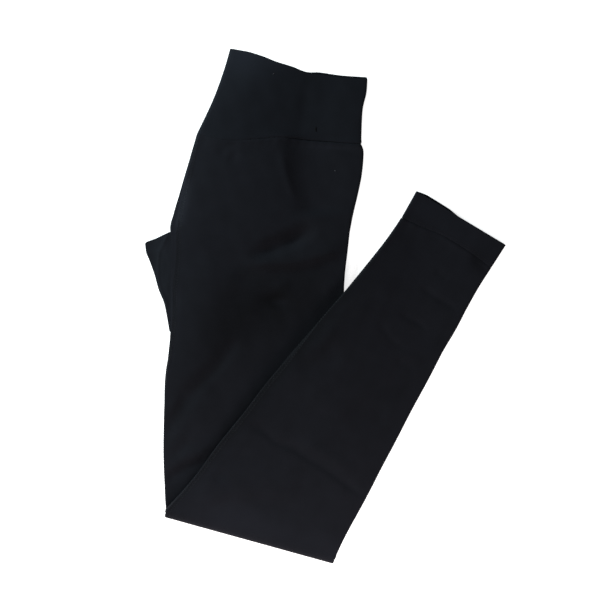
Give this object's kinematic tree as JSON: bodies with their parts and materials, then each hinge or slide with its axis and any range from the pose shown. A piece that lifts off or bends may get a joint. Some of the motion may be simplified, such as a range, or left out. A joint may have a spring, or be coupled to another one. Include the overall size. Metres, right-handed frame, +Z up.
{
  "type": "leggings",
  "caption": "Full-length black stretch-knit leggings with a wide waistband, folded in half down the centre front and then once at the knee, lying flat.",
  "frame": {"origin": "bottom centre of the bounding box, on the surface that the folded leggings lie on", "axes": "+Z up from that surface, +Y from the knee fold to the waistband's top edge, +X from the crotch side to the ankle side"},
  "size_m": [0.3782, 0.5394, 0.0188],
  "materials": {
    "waistband": "matt black doubled stretch knit",
    "left_leg": "matt black stretch knit",
    "right_leg": "matt black stretch knit",
    "inner_layers": "matt black stretch knit",
    "crotch_gusset": "matt black stretch knit",
    "left_ankle_hem": "matt black stretch knit, turned and coverstitched",
    "right_ankle_hem": "matt black stretch knit, turned and coverstitched"
  },
  "bodies": {
    "root": {"waistband": "waistband", "left_leg": "left_leg", "right_leg": "right_leg", "inner_layers": "inner_layers", "crotch_gusset": "crotch_gusset", "left_ankle_hem": "left_ankle_hem", "right_ankle_hem": "right_ankle_hem"}
  },
  "joints": []
}
